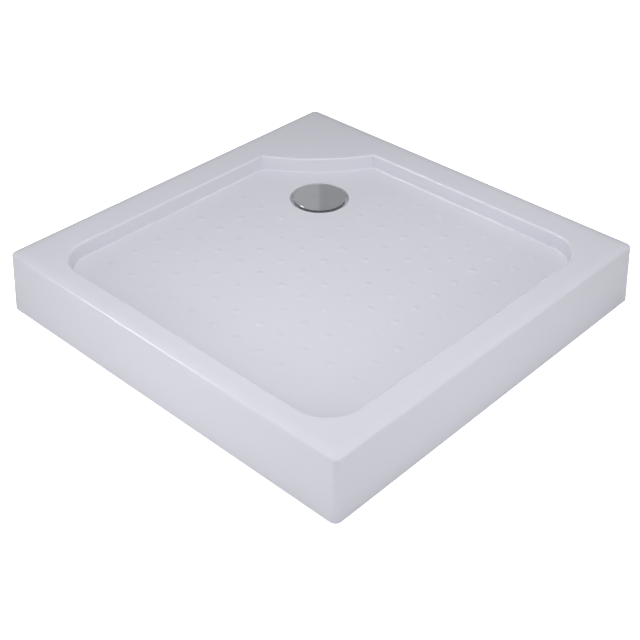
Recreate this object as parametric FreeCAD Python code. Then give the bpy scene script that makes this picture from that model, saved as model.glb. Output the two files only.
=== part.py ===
import FreeCAD, Part
import math
import os

# Square shower tray with its own skirt, a sunken floor, a raised corner shelf and a
# 90 mm waste.  Millimetres, +Z up, origin at the middle of the footprint on the ground.
# -Y is the front, -X the left side; the shelf and the drain are at the rear left corner.

Vec = FreeCAD.Vector

# ---- driving dimensions -------------------------------------------------------------
SIDE = 900.0                  # footprint, at the lower edge of the skirt
HEIGHT = 135.0                # ground to deck
SKIRT_DRAFT = 3.2             # degrees, the skirt leans in towards the deck
SKIRT_CORNER = 14.0           # radius of the four upright corners
DECK_EDGE = 12.0              # rounding between deck and skirt
SHEET = 4.0                   # acrylic sheet
LAMINATE = 2.5                # glass-fibre backing
LAMINATE_LOW = 12.0           # the backing stops this far above the trimmed edge

BASIN_LEFT, BASIN_RIGHT = -365.0, 384.0     # where the basin walls meet the deck plane
BASIN_FRONT, BASIN_REAR = -394.0, 365.0
BASIN_DEPTH = 32.0
BASIN_CORNER = 78.0
BASIN_EDGE = 8.0              # rounding at the lip and along the floor
WALL_LEAN = 4.5               # how far a basin wall runs in on its way down

SHELF_CENTRE = (-565.0, 568.0)              # centre of the shelf's bulging front
SHELF_RADIUS = 431.0

DRAIN = (-180.0, 180.0)
RECESS_RADIUS = 66.0          # sunken ring round the drain cover
RECESS_DEPTH = 12.0
RECESS_LEAN = 2.5
RECESS_EDGE = 2.5
WASTE_HOLE = 45.0             # radius, for a 90 mm waste

BOARD = 12.0                  # chipboard bonded under floor and shelf
BOARD_CORNER = 20.0
BOARD_LEFT, BOARD_RIGHT = -345.0, 364.0
BOARD_FRONT, BOARD_REAR = -374.0, 345.0
BOARD_NOTCH = 90.0            # the board stops this far from the middle in the drain corner
SHELF_BOARD_MARGIN = 16.0
SHELF_BOARD_EDGE = 424.0

LEGS = {"front_left": (-305.0, -335.0), "front_right": (325.0, -335.0),
        "rear_right": (325.0, 305.0), "centre": (0.0, 0.0), "rear_left": (-335.0, 335.0)}
SHELF_LEG = "rear_left"       # stands under the shelf board
ROD = 6.0                     # radius of the M12 rod
RUN_CLEARANCE = 0.3           # radial, between a moving piece and its housing
ROD_SEAT = 6.0                # rod end above the ground
ROD_IN_BOARD = 3.5            # rod end above the board's underside
PLATE_SIDE, PLATE_THICK, PLATE_BEVEL = 70.0, 3.0, 5.0
PLATE_HOLE = 27.0             # screw holes from the plate's middle
SOCKET_FLATS, SOCKET_LENGTH = 22.0, 30.0
LOCK_NUT_FLATS, LOCK_NUT_HEIGHT = 19.0, 8.0
COLLAR_FLATS, COLLAR_HEIGHT, COLLAR_LOW = 17.0, 7.0, 21.0      # turning hexagon on the rod
PAD_RADIUS, PAD_BASE, PAD_HEIGHT, PAD_HUB = 26.0, 4.0, 18.0, 20.0
PAD_RIBS, PAD_RIB = 6, 2.4
SCREW_SHANK, SCREW_HEAD, SCREW_HEAD_HEIGHT, SCREW_DEPTH = 4.0, 7.6, 2.4, 9.0

COVER_RADIUS = 57.25
COVER_TOP = 105.6             # crown of the cover above the ground
COVER_EDGE_TOP = 104.4
COVER_LOW = 100.4
COVER_WALL = 1.6
BOSS_RADIUS, POST_RADIUS = 9.0, 5.0
FLANGE_RADIUS = 56.0
GASKET = (1.5, 2.0)           # thickness above the sheet and under the backing
CLAMP_SCREWS = 3
CLAMP_CIRCLE = 37.5           # radius of the clamping screws' circle
TUBE_RADIUS = 25.0
TRAP_RADIUS = 43.6            # inside of the trap bowl
TRAP_WALL = 3.0
TRAP_BOTTOM = 14.0
OUTLET_HEIGHT = 54.0          # axis of the outlet above the ground
OUTLET_BORE, OUTLET_STUB = 17.5, 21.0
STUB_END = 78.0               # from the drain's axis
SPIGOT_RADIUS, SPIGOT_END = 20.0, 150.0
UNION_RIBS = 8
CLAMP_SHANK, CLAMP_DEPTH = 4.0, 16.5        # width of the clamping screws, length below the ledge
TRAP_FLANGE = 58.0
TUBE_LOW = 22.0               # lower end of the dip tube
SEAL_LOW, SEAL_SIZE, SEAL_GROOVE = 78.0, 2.4, 28.4
SEAL_SIDES = 48

# ---- heights that follow ------------------------------------------------------------
FLOOR = HEIGHT - BASIN_DEPTH
RECESS = FLOOR - RECESS_DEPTH
SKIN = SHEET + LAMINATE
BOARD_TOP = FLOOR - SKIN
BOARD_LOW = BOARD_TOP - BOARD
SHELF_BOARD_LOW = HEIGHT - SKIN - BOARD
TOP = HEIGHT + 20.0           # above everything, for cutters


# ---- small helpers ------------------------------------------------------------------
def wire(points):
    """Closed wire through (x, y) points; a point may be ('arc', mid, end)."""
    edges, here = [], points[0]
    for step in points[1:] + [points[0]]:
        if step[0] == "arc":
            mid, end = step[1], step[2]
            edges.append(Part.Arc(Vec(*here, 0), Vec(*mid, 0), Vec(*end, 0)).toShape())
        else:
            end = step
            if math.dist(here, end) > 1e-6:
                edges.append(Part.makeLine(Vec(*here, 0), Vec(*end, 0)))
        here = end
    return Part.Wire(edges)


def corner(centre, radius, start):
    """Quarter arc that ends a quarter turn after start, in degrees."""
    def at(angle):
        a = math.radians(angle)
        return (centre[0] + radius * math.cos(a), centre[1] + radius * math.sin(a))
    return ("arc", at(start + 45), at(start + 90))


def rounded_rectangle(x0, y0, x1, y1, r):
    return wire([(x0 + r, y0), (x1 - r, y0), corner((x1 - r, y0 + r), r, -90),
                 (x1, y1 - r), corner((x1 - r, y1 - r), r, 0),
                 (x0 + r, y1), corner((x0 + r, y1 - r), r, 90),
                 (x0, y0 + r), corner((x0 + r, y0 + r), r, 180)])


def at_height(w, z):
    return w.translated(Vec(0, 0, z))


def prism(w, z0, z1):
    return Part.Face(at_height(w, z0)).extrude(Vec(0, 0, z1 - z0))


def turned(profile, x=0.0, y=0.0):
    """Solid of revolution about the vertical through (x, y) from (radius, z) points."""
    pts = [Vec(r, 0, z) for r, z in profile]
    face = Part.Face(Part.makePolygon(pts + pts[:1]))
    return face.revolve(Vec(0, 0, 0), Vec(0, 0, 1), 360).translated(Vec(x, y, 0))


def upright(radius, z0, z1, x, y):
    return Part.makeCylinder(radius, z1 - z0, Vec(x, y, z0))


def sided(sides, across, z0, z1, x, y):
    """Upright prism with a number of sides and a given width across its flats."""
    r = across / 2 / math.cos(math.pi / sides)
    turn = math.pi / sides
    pts = [Vec(x + r * math.cos(turn + 2 * math.pi * i / sides),
               y + r * math.sin(turn + 2 * math.pi * i / sides), z0) for i in range(sides + 1)]
    return Part.Face(Part.makePolygon(pts)).extrude(Vec(0, 0, z1 - z0))


def rod_bore(z0, z1, x, y):
    """Cutter for the hole round a foot rod; its flats clear the thread."""
    return sided(12, 2 * (ROD + RUN_CLEARANCE), z0, z1, x, y)


def seal_ring(inner, outer, z0, z1):
    """Flat seal round the drain, clear of the round walls beside it."""
    face = sided(SEAL_SIDES, 2 * outer * math.cos(math.pi / SEAL_SIDES), z0, z1, *DRAIN)
    return face.cut(sided(SEAL_SIDES, 2 * inner, z0 - 1, z1 + 1, *DRAIN))


def frustum(x0, y0, x1, y1, low, high, lean):
    """Block whose four sides run in by lean on the way from low to high."""
    wedge = Part.makeWedge(x0, low, -y1, -y1 + lean, x0 + lean,
                           x1, high, -y0, -y0 - lean, x1 - lean)
    wedge.rotate(Vec(0, 0, 0), Vec(1, 0, 0), 90)
    return wedge


def soften(solid, radius, z, seen):
    """Rounds the edges that lie at one height, or bevels them where they stay hidden."""
    edges = [e for e in solid.Edges
             if abs(e.BoundBox.ZMin - z) < 0.01 and abs(e.BoundBox.ZMax - z) < 0.01]
    return solid.makeFillet(radius, edges) if seen else solid.makeChamfer(radius * 0.6, edges)


os.makedirs("parts", exist_ok=True)


def save(name, *solids):
    shape = solids[0] if len(solids) == 1 else Part.makeCompound(list(solids))
    shape.exportStep(f"parts/{name}.step")


# ---- the moulded tray ---------------------------------------------------------------
def upright_edges(solid, places, reach=20.0):
    """Edges that run down a block near the given (x, y) places."""
    return [e for e in solid.Edges if e.BoundBox.ZLength > BASIN_DEPTH / 2
            and any(math.dist((e.CenterOfMass.x, e.CenterOfMass.y), p) < reach for p in places)]


def basin_cutter(depth):
    """The basin as a solid: leaning walls, round corners and the shelf's bulging front."""
    floor, high = FLOOR - depth, TOP
    slope = WALL_LEAN / BASIN_DEPTH
    x0, x1 = BASIN_LEFT + WALL_LEAN - depth, BASIN_RIGHT - WALL_LEAN + depth
    y0, y1 = BASIN_FRONT + WALL_LEAN - depth, BASIN_REAR - WALL_LEAN + depth
    cutter = frustum(x0, y0, x1, y1, floor, high, -slope * (high - floor))
    foot = floor - 5.0
    radius = SHELF_RADIUS + WALL_LEAN - depth
    shelf = Part.makeCone(radius + slope * 5.0, radius - slope * (high + 5.0 - floor),
                          high + 5.0 - foot, Vec(*SHELF_CENTRE, foot))
    cutter = cutter.cut(shelf)
    corners = upright_edges(cutter, [(x0, y0), (x1, y0), (x1, y1)])
    cutter = cutter.makeFillet(BASIN_CORNER - WALL_LEAN + depth, corners)
    return soften(cutter, BASIN_EDGE + depth, floor, depth == 0)


def recess_cutter(depth):
    wide, floor = RECESS_RADIUS + depth, FLOOR - depth
    low, edge = RECESS - depth, RECESS_EDGE
    return turned([(0, low), (wide - RECESS_LEAN - edge, low), (wide - RECESS_LEAN, low + edge),
                   (wide, floor - edge * 0.6), (wide + edge, floor + edge * 0.9),
                   (0, floor + edge * 0.9)], *DRAIN)


def tray_form(depth):
    """The tray as a solid block, with every face set back by depth into the material."""
    slope = math.tan(math.radians(SKIRT_DRAFT))
    low, top = (0.0 if depth == 0 else -5.0), HEIGHT - depth
    half = SIDE / 2 - depth - low * slope
    block = frustum(-half, -half, half, half, low, top, slope * (top - low))
    corners = [(x, y) for x in (-half, half) for y in (-half, half)]
    block = block.makeFillet(SKIRT_CORNER - depth, upright_edges(block, corners))
    block = soften(block, DECK_EDGE - depth, top, depth == 0)
    block = block.cut(basin_cutter(depth))
    if depth == 0:            # the sheet thins at the lip, so its underside stays sharp there
        reach = SIDE / 2 - DECK_EDGE * 3
        lip = [e for e in block.Edges if abs(e.BoundBox.ZMin - top) < 0.01
               and max(abs(e.BoundBox.XMin), abs(e.BoundBox.XMax),
                       abs(e.BoundBox.YMin), abs(e.BoundBox.YMax)) < reach]
        block = block.makeFillet(BASIN_EDGE, lip)
    return block.cut(recess_cutter(depth))


outer, middle, inner = tray_form(0.0), tray_form(SHEET), tray_form(SKIN)
waste_hole = upright(WASTE_HOLE, 0, TOP, *DRAIN)
shell = outer.cut(middle).cut(waste_hole)
save("tray_shell", shell)

below = Part.makeBox(SIDE, SIDE, LAMINATE_LOW + 10, Vec(-SIDE / 2, -SIDE / 2, -10))
backing = middle.cut(inner).cut(waste_hole).cut(below)
save("fibreglass_backing", backing)


# ---- boards under the floor and the shelf ---------------------------------------------
def screw_places(x, y):
    return [(x + sx * PLATE_HOLE, y + sy * PLATE_HOLE) for sx in (-1, 1) for sy in (-1, 1)]


def drilled(board, names, low):
    """A board with clearance for the rods and pilot holes for the plate screws."""
    for name in names:
        board = board.cut(upright(ROD + 1, low - 1, low + BOARD + 1, *LEGS[name]))
        for place in screw_places(*LEGS[name]):
            board = board.cut(sided(8, SCREW_SHANK, low - 1, low + SCREW_DEPTH, *place))
    return board


def floor_board():
    board = prism(rounded_rectangle(BOARD_LEFT, BOARD_FRONT, BOARD_RIGHT, BOARD_REAR,
                                    BOARD_CORNER), BOARD_LOW, BOARD_TOP)
    notch = prism(rounded_rectangle(-SIDE, BOARD_NOTCH, -BOARD_NOTCH, SIDE, BOARD_CORNER),
                  BOARD_LOW - 1, BOARD_TOP + 1)
    return drilled(board.cut(notch), [n for n in LEGS if n != SHELF_LEG], BOARD_LOW)


def shelf_board():
    edge = SHELF_BOARD_EDGE
    sheet = prism(rounded_rectangle(-edge, 0, 0, edge, BOARD_CORNER),
                  SHELF_BOARD_LOW, SHELF_BOARD_LOW + BOARD)
    arc = upright(SHELF_RADIUS - SHELF_BOARD_MARGIN, SHELF_BOARD_LOW - 1, TOP, *SHELF_CENTRE)
    return drilled(sheet.common(arc), [SHELF_LEG], SHELF_BOARD_LOW)


save("floor_board", floor_board())
save("shelf_board", shelf_board())


# ---- adjustable legs ------------------------------------------------------------------
def leg_socket(x, y, low):
    """Steel plate with a long hexagon nut welded under it, against a board at height low."""
    half, thick = PLATE_SIDE / 2, PLATE_THICK
    plate = Part.makeBox(PLATE_SIDE, PLATE_SIDE, thick, Vec(x - half, y - half, low - thick))
    plate = plate.makeChamfer(PLATE_BEVEL, [e for e in plate.Edges if e.BoundBox.ZLength > thick / 2])
    body = plate.fuse(sided(6, SOCKET_FLATS, low - thick - SOCKET_LENGTH, low - thick, x, y))
    body = body.cut(rod_bore(0, TOP, x, y))
    for place in screw_places(x, y):
        body = body.cut(sided(8, SCREW_SHANK + 0.4, 0, TOP, *place))
    return body.removeSplitter()


def plate_screws(x, y, low):
    """Four screws up through a socket plate into the board."""
    under = low - PLATE_THICK
    screws = []
    for place in screw_places(x, y):
        head = sided(8, SCREW_HEAD, under - SCREW_HEAD_HEIGHT, under, *place)
        screws.append(head.fuse(sided(8, SCREW_SHANK, under, low + SCREW_DEPTH, *place)))
    return screws


def lock_nut(x, y, low):
    top = low - PLATE_THICK - SOCKET_LENGTH
    nut = sided(6, LOCK_NUT_FLATS, top - LOCK_NUT_HEIGHT, top, x, y)
    return nut.cut(rod_bore(0, TOP, x, y))


def leg_rod(x, y, low):
    """Threaded rod with a hexagon near its foot for the spanner."""
    rod = upright(ROD, ROD_SEAT, low + ROD_IN_BOARD, x, y)
    return rod.fuse(sided(6, COLLAR_FLATS, COLLAR_LOW, COLLAR_LOW + COLLAR_HEIGHT, x, y))


def foot_pad(x, y):
    """Plastic foot: a disc, a hexagon hub round the rod's end and gussets between them."""
    pad = sided(24, 2 * PAD_RADIUS, 0, PAD_BASE, 0, 0).fuse(sided(6, PAD_HUB, 0, PAD_HEIGHT, 0, 0))
    inner, outside = PAD_HUB / 2 - 1, PAD_RADIUS - 3
    gusset = Part.Face(Part.makePolygon([Vec(inner, 0, PAD_BASE), Vec(outside, 0, PAD_BASE),
                                         Vec(inner, 0, PAD_HEIGHT - 3), Vec(inner, 0, PAD_BASE)]))
    gusset = gusset.extrude(Vec(0, PAD_RIB, 0)).translated(Vec(0, -PAD_RIB / 2, 0))
    for i in range(PAD_RIBS):
        turn = gusset.copy()
        turn.rotate(Vec(0, 0, 0), Vec(0, 0, 1), i * 360 / PAD_RIBS)
        pad = pad.fuse(turn)
    pad = pad.cut(rod_bore(ROD_SEAT, TOP, 0, 0))
    return pad.removeSplitter().translated(Vec(x, y, 0))


screws, nuts = [], []
for leg, (leg_x, leg_y) in LEGS.items():
    under = SHELF_BOARD_LOW if leg == SHELF_LEG else BOARD_LOW
    save(f"leg_socket_{leg}", leg_socket(leg_x, leg_y, under))
    save(f"leg_rod_{leg}", leg_rod(leg_x, leg_y, under))
    save(f"foot_pad_{leg}", foot_pad(leg_x, leg_y))
    screws += plate_screws(leg_x, leg_y, under)
    nuts.append(lock_nut(leg_x, leg_y, under))
save("plate_screws", *screws)
save("lock_nuts", *nuts)


# ---- 90 mm waste and trap ---------------------------------------------------------------
GASKET_TOP = RECESS + GASKET[0]             # the clamping flange lies on this
RING_TOP = GASKET_TOP + 2.5
LEDGE_LOW = RECESS - SKIN                   # underside of the flange ring's screw ledge
LEDGE = LEDGE_LOW + 2.5
TRAP_TOP = RECESS - SKIN - GASKET[1]
COLLAR_BORE, COLLAR_END = 31.0, 74.0        # the dip tube's seat
PILLAR_LOW = 62.0
POST_TOP = 101.0


def clamp_places():
    """Middles of the clamping screws, the first one to the rear of the drain."""
    turns = [math.radians(90 + i * 360 / CLAMP_SCREWS) for i in range(CLAMP_SCREWS)]
    return [(DRAIN[0] + CLAMP_CIRCLE * math.cos(a), DRAIN[1] + CLAMP_CIRCLE * math.sin(a))
            for a in turns]


def flange_ring():
    body = turned([(43.5, GASKET_TOP), (FLANGE_RADIUS, GASKET_TOP), (FLANGE_RADIUS - 1, RING_TOP),
                   (40.5, RING_TOP), (40.5, LEDGE),
                   (COLLAR_BORE, LEDGE), (COLLAR_BORE, COLLAR_END), (33.5, COLLAR_END),
                   (33.5, LEDGE_LOW), (43.5, LEDGE_LOW)], *DRAIN)
    for place in clamp_places():
        body = body.cut(sided(8, CLAMP_SHANK + 0.4, 0, TOP, *place))
    return body


def trap_body():
    """Bowl with a clamping flange, three screw pillars and a side outlet."""
    inside = TRAP_RADIUS
    outside = TRAP_RADIUS + TRAP_WALL
    bowl = turned([(0, TRAP_BOTTOM), (34, TRAP_BOTTOM), (outside, 36), (outside, TRAP_TOP - 4),
                   (TRAP_FLANGE, TRAP_TOP - 4), (TRAP_FLANGE, TRAP_TOP), (0, TRAP_TOP)], *DRAIN)
    stub = Part.makeCylinder(OUTLET_STUB, STUB_END, Vec(*DRAIN, OUTLET_HEIGHT), Vec(-1, 0, 0))
    hollow = turned([(0, TRAP_BOTTOM + 3), (32.5, TRAP_BOTTOM + 3), (inside, 36.5),
                     (inside, TOP), (0, TOP)], *DRAIN)
    passage = Part.makeCylinder(OUTLET_BORE, STUB_END + 5, Vec(*DRAIN, OUTLET_HEIGHT),
                                Vec(-1, 0, 0))
    body = bowl.fuse(stub).cut(hollow).cut(passage)
    for i, place in enumerate(clamp_places()):
        web = Part.makeBox(7.0, 4.0, TRAP_TOP - PILLAR_LOW, Vec(CLAMP_CIRCLE, -2.0, PILLAR_LOW))
        web.rotate(Vec(0, 0, 0), Vec(0, 0, 1), 90 + i * 360 / CLAMP_SCREWS)
        pillar = sided(8, 7.2, PILLAR_LOW, LEDGE_LOW, *place)
        body = body.fuse(web.translated(Vec(*DRAIN, 0))).fuse(pillar)
        body = body.cut(sided(8, CLAMP_SHANK, LEDGE_LOW - CLAMP_DEPTH, TOP, *place))
    return body.removeSplitter()


def clamp_screws():
    made = []
    for place in clamp_places():
        shank = sided(8, CLAMP_SHANK, LEDGE_LOW - CLAMP_DEPTH, LEDGE, *place)
        made.append(shank.fuse(sided(8, 5.6, LEDGE, LEDGE + 2.2, *place)))
    return made


def dip_tube():
    """Lift-out tube that makes the water seal, with a bridge and a post for the cover."""
    rim, seat = LEDGE + 2, COLLAR_BORE - 0.4
    body = turned([(TUBE_RADIUS - 2, TUBE_LOW), (TUBE_RADIUS, TUBE_LOW), (TUBE_RADIUS, 72),
                   (seat, SEAL_LOW), (SEAL_GROOVE, SEAL_LOW),
                   (SEAL_GROOVE, SEAL_LOW + SEAL_SIZE), (seat, SEAL_LOW + SEAL_SIZE),
                   (seat, LEDGE), (33.4, LEDGE), (33.4, rim), (26, rim),
                   (TUBE_RADIUS - 2, 72)], *DRAIN)
    for turn in (0, 90):
        bar = Part.makeBox(53, 3, 8, Vec(-26.5, -1.5, rim - 8))
        bar.rotate(Vec(0, 0, 0), Vec(0, 0, 1), turn)
        body = body.fuse(bar.translated(Vec(*DRAIN, 0)))
    return body.fuse(upright(POST_RADIUS, rim - 8, POST_TOP, *DRAIN)).removeSplitter()


def drain_cover():
    """Domed disc with a turned-down edge and a boss that drops over the post."""
    outside, inside = COVER_RADIUS, COVER_RADIUS - COVER_WALL
    body = turned([(0, COVER_TOP), (outside - 1.4, COVER_EDGE_TOP),
                   (outside, COVER_EDGE_TOP - 1.2), (outside, COVER_LOW), (inside, COVER_LOW),
                   (inside, COVER_EDGE_TOP - COVER_WALL), (BOSS_RADIUS, COVER_TOP - COVER_WALL),
                   (BOSS_RADIUS, RING_TOP + 0.5), (0, RING_TOP + 0.5)], *DRAIN)
    return body.cut(upright(POST_RADIUS + RUN_CLEARANCE, 0, POST_TOP, *DRAIN))


def along_outlet(profile):
    """Solid of revolution about the outlet, from (radius, distance from the drain) points."""
    solid = turned(profile)
    solid.rotate(Vec(0, 0, 0), Vec(0, 1, 0), -90)
    return solid.translated(Vec(*DRAIN, OUTLET_HEIGHT))


def union_nut():
    low, high = STUB_END - 18, STUB_END + 10
    bore = OUTLET_STUB + 0.2
    body = along_outlet([(bore, low), (25.5, low), (25.5, high - 2), (24, high),
                         (SPIGOT_RADIUS + 0.2, high), (SPIGOT_RADIUS + 0.2, high - 3),
                         (bore, high - 3)])
    for i in range(UNION_RIBS):
        rib = Part.makeBox(high - low - 4, 4, 3, Vec(-(high - 2), -2, 25))
        rib.rotate(Vec(0, 0, 0), Vec(1, 0, 0), i * 360 / UNION_RIBS)
        body = body.fuse(rib.translated(Vec(*DRAIN, OUTLET_HEIGHT)))
    return body.removeSplitter()


save("flange_gasket", seal_ring(45.5, 55.0, RECESS, GASKET_TOP))
save("trap_gasket", seal_ring(46.0, 57.0, TRAP_TOP, LEDGE_LOW))
save("flange_ring", flange_ring())
save("trap_body", trap_body())
save("clamp_screws", *clamp_screws())
save("dip_tube", dip_tube())
save("dip_tube_seal", seal_ring(SEAL_GROOVE + 0.1, COLLAR_BORE - RUN_CLEARANCE, SEAL_LOW,
                                SEAL_LOW + SEAL_SIZE))
save("drain_cover", drain_cover())
save("union_seal", along_outlet([(OUTLET_BORE, STUB_END), (OUTLET_STUB, STUB_END),
                                 (OUTLET_STUB, STUB_END + 3), (OUTLET_BORE, STUB_END + 3)]))
save("union_nut", union_nut())
save("outlet_spigot", along_outlet([(18.2, STUB_END + 3), (OUTLET_STUB, STUB_END + 3),
                                    (OUTLET_STUB, STUB_END + 7), (SPIGOT_RADIUS, STUB_END + 7),
                                    (SPIGOT_RADIUS, SPIGOT_END), (18.2, SPIGOT_END)]))
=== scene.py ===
import math

import bmesh
import bpy
from bpy.props import FloatProperty, FloatVectorProperty, IntProperty, PointerProperty
from mathutils import Matrix, Vector


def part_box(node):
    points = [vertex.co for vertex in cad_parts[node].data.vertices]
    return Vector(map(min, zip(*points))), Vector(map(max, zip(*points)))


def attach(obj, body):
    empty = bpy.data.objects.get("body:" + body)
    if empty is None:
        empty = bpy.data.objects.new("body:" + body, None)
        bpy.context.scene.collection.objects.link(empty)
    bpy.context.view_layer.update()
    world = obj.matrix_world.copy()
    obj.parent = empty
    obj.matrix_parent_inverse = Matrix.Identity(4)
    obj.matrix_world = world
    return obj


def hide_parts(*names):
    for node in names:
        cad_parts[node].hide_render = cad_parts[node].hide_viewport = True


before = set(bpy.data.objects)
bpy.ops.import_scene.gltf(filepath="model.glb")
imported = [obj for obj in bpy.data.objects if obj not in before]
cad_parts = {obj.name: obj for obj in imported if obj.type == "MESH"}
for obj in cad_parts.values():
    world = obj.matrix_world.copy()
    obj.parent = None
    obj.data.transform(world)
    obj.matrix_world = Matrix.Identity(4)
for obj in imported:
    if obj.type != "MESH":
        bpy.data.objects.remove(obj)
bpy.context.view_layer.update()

bl_info = {
    "name": "Shower tray with corner shelf",
    "version": (1, 0, 0),
    "blender": (4, 5, 0),
    "location": "View3D > Sidebar > Shower tray",
    "description": "Builds a moulded shower tray with its waste, trap and screw-adjusted feet",
    "category": "Add Mesh",
}

MM = 0.001
UP = Vector((0.0, 0.0, 1.0))
LEG_NAMES = ("front_left", "front_right", "rear_right", "centre", "rear_left")


# ---- sizes and colours that a user may change ----
def length(name, description, default_mm):
    return FloatProperty(name=name, description=description, default=default_mm * MM,
                         unit="LENGTH", subtype="DISTANCE")


def angle(name, description, default_degrees):
    return FloatProperty(name=name, description=description, default=math.radians(default_degrees),
                         unit="ROTATION", subtype="ANGLE")


def colour(name, description, default):
    return FloatVectorProperty(name=name, description=description, default=default,
                               subtype="COLOR", size=3, min=0.0, max=1.0)


def amount(name, description, default, lowest=0.0):
    return FloatProperty(name=name, description=description, default=default, min=lowest)


def count(name, description, default, lowest=0):
    return IntProperty(name=name, description=description, default=default, min=lowest)


class TrayMouldSettings(bpy.types.PropertyGroup):
    skirt_draft: angle("Skirt draft", "How far the skirt leans in", 3.2)
    skirt_corner: length("Skirt corner", "Radius of the upright corners", 14.0)
    deck_edge: length("Deck edge", "Rounding between deck and skirt", 4.5)
    deck_roll: length("Deck roll", "Radius in which the deck falls away to its edge", 60.0)
    deck_fall: angle("Deck fall", "Slope of the deck where it meets its edge", 20.0)
    sheet: length("Sheet", "Thickness of the acrylic", 4.0)
    laminate: length("Laminate", "Thickness of the glass-fibre backing", 2.5)
    laminate_low: length("Laminate edge", "Height where the backing stops", 12.0)
    basin_left: length("Basin left", "Where the left wall meets the deck plane", -365.0)
    basin_right: length("Basin right", "Where the right wall meets the deck plane", 384.0)
    basin_front: length("Basin front", "Where the front wall meets the deck plane", -394.0)
    basin_rear: length("Basin rear", "Where the rear wall meets the deck plane", 365.0)
    basin_depth: length("Basin depth", "From the deck down to the floor", 32.0)
    basin_corner: length("Basin corner", "Radius of the basin's corners in plan", 78.0)
    basin_lip: length("Basin lip", "Rounding where the deck turns into the wall", 5.0)
    basin_foot: length("Basin foot", "Rounding where the wall meets the floor", 4.0)
    wall_lean: length("Wall lean", "How far a basin wall runs in on its way down", 4.5)
    shelf_x: length("Shelf centre X", "Centre of the shelf's bulging front", -565.0)
    shelf_y: length("Shelf centre Y", "Centre of the shelf's bulging front", 568.0)
    shelf_radius: length("Shelf radius", "Radius of the shelf's front", 431.0)
    recess_radius: length("Drain recess", "Radius of the ring round the cover", 64.5)
    recess_depth: length("Recess depth", "From the floor down to the recess", 12.0)
    recess_lean: length("Recess lean", "How far the recess narrows", 2.5)
    recess_edge: length("Recess edge", "Rounding of the recess", 2.5)
    waste_hole: length("Waste hole", "Radius of the hole for the waste", 45.0)


class StudSettings(bpy.types.PropertyGroup):
    pitch: length("Pitch", "Distance between anti-slip studs", 60.0)
    per_side: count("Per side", "Studs along each side", 11, 1)
    gap: count("Gap", "Studs left out per side at the drain", 4)
    radius: length("Radius", "Radius of one stud", 11.5)
    rise: length("Rise", "Height of one stud", 1.1)


class ThreadSettings(bpy.types.PropertyGroup):
    pitch: length("Pitch", "Thread pitch of the foot rods", 1.75)
    root: length("Root", "Radius at the bottom of the thread", 5.1)
    steps: count("Steps", "Faces round one turn", 20, 8)


class LegSettings(bpy.types.PropertyGroup):
    rod_radius: length("Rod radius", "Radius over the thread's crests", 5.9)
    collar_flats: length("Rod hexagon", "Width across the flats of the rod's hexagon", 17.0)
    collar_low: length("Hexagon height", "Height of the rod's hexagon above the ground", 21.0)
    collar_height: length("Hexagon length", "Length of the rod's hexagon", 7.0)
    pad_radius: length("Pad radius", "Radius of a foot pad", 26.0)
    pad_base: length("Pad base", "Thickness of a foot pad's disc", 4.0)
    pad_height: length("Pad height", "Height of a foot pad's hub", 18.0)
    pad_hub: length("Pad hub", "Width across the flats of a foot pad's hub", 20.0)
    seat: length("Seat", "Height of the rod's seat in its pad", 6.0)
    gussets: count("Gussets", "Gussets round a foot pad's hub", 6, 2)
    plate_side: length("Plate side", "Side of a socket plate", 70.0)
    plate_thick: length("Plate", "Thickness of a socket plate", 3.0)
    plate_hole: length("Plate holes", "Screws from the leg's middle, each way", 27.0)
    socket_flats: length("Socket nut", "Width across the flats of the long nut", 22.0)
    nut_flats: length("Lock nut", "Width across the flats of a lock nut", 19.0)
    nut_height: length("Lock nut height", "Height of a lock nut", 8.0)
    screw_head: length("Screw head", "Diameter of a pan head", 7.6)
    screw_height: length("Screw head height", "Height of a pan head", 2.4)
    screw_shank: length("Screw shank", "Diameter of a screw's shank", 4.0)


class FinishSettings(bpy.types.PropertyGroup):
    acrylic: colour("Acrylic", "Colour of the moulded sheet", (0.685, 0.685, 0.745))
    chrome: colour("Chrome", "Colour of the plated cover", (0.62, 0.63, 0.66))
    laminate: colour("Laminate", "Colour of the glass-fibre backing", (0.56, 0.53, 0.43))
    chipboard: colour("Chipboard", "Colour of the boards", (0.42, 0.28, 0.15))
    zinc: colour("Zinc", "Colour of the plated steel", (0.55, 0.57, 0.6))
    foot: colour("Foot plastic", "Colour of the pads", (0.018, 0.018, 0.02))
    rubber: colour("Rubber", "Colour of the seals", (0.012, 0.012, 0.012))
    trap: colour("Trap plastic", "Colour of the trap", (0.72, 0.72, 0.7))


class StudioSettings(bpy.types.PropertyGroup):
    azimuth: angle("Azimuth", "Camera bearing about the tray, from the front", 43.07)
    elevation: angle("Elevation", "Camera height angle", 36.04)
    roll: angle("Roll", "Camera roll", 0.306)
    distance: length("Distance", "Camera distance", 2460.6)
    shift_right: length("Shift right", "Sideways place of the camera", -6.3)
    shift_up: length("Shift up", "Upward place of the camera", -36.0)
    lens: amount("Lens", "Focal length in millimetres", 66.83, 1.0)
    lamps: amount("Lamps", "Brightness of all lamps together", 1.03)
    ambient: amount("Ambient", "Strength of the even light", 0.31)
    split: amount("Wall split", "Where the mirrored wall changes tone", 0.004, -1.0)
    wall_left: amount("Wall left", "Mirrored wall, left part", 0.64)
    wall_right: amount("Wall right", "Mirrored wall, right part", 0.51)


SETTINGS = (("tray_mould", TrayMouldSettings), ("tray_studs", StudSettings),
            ("tray_thread", ThreadSettings), ("tray_legs", LegSettings),
            ("tray_finish", FinishSettings), ("tray_studio", StudioSettings))


def settings(name):
    return getattr(bpy.context.scene, name)


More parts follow.
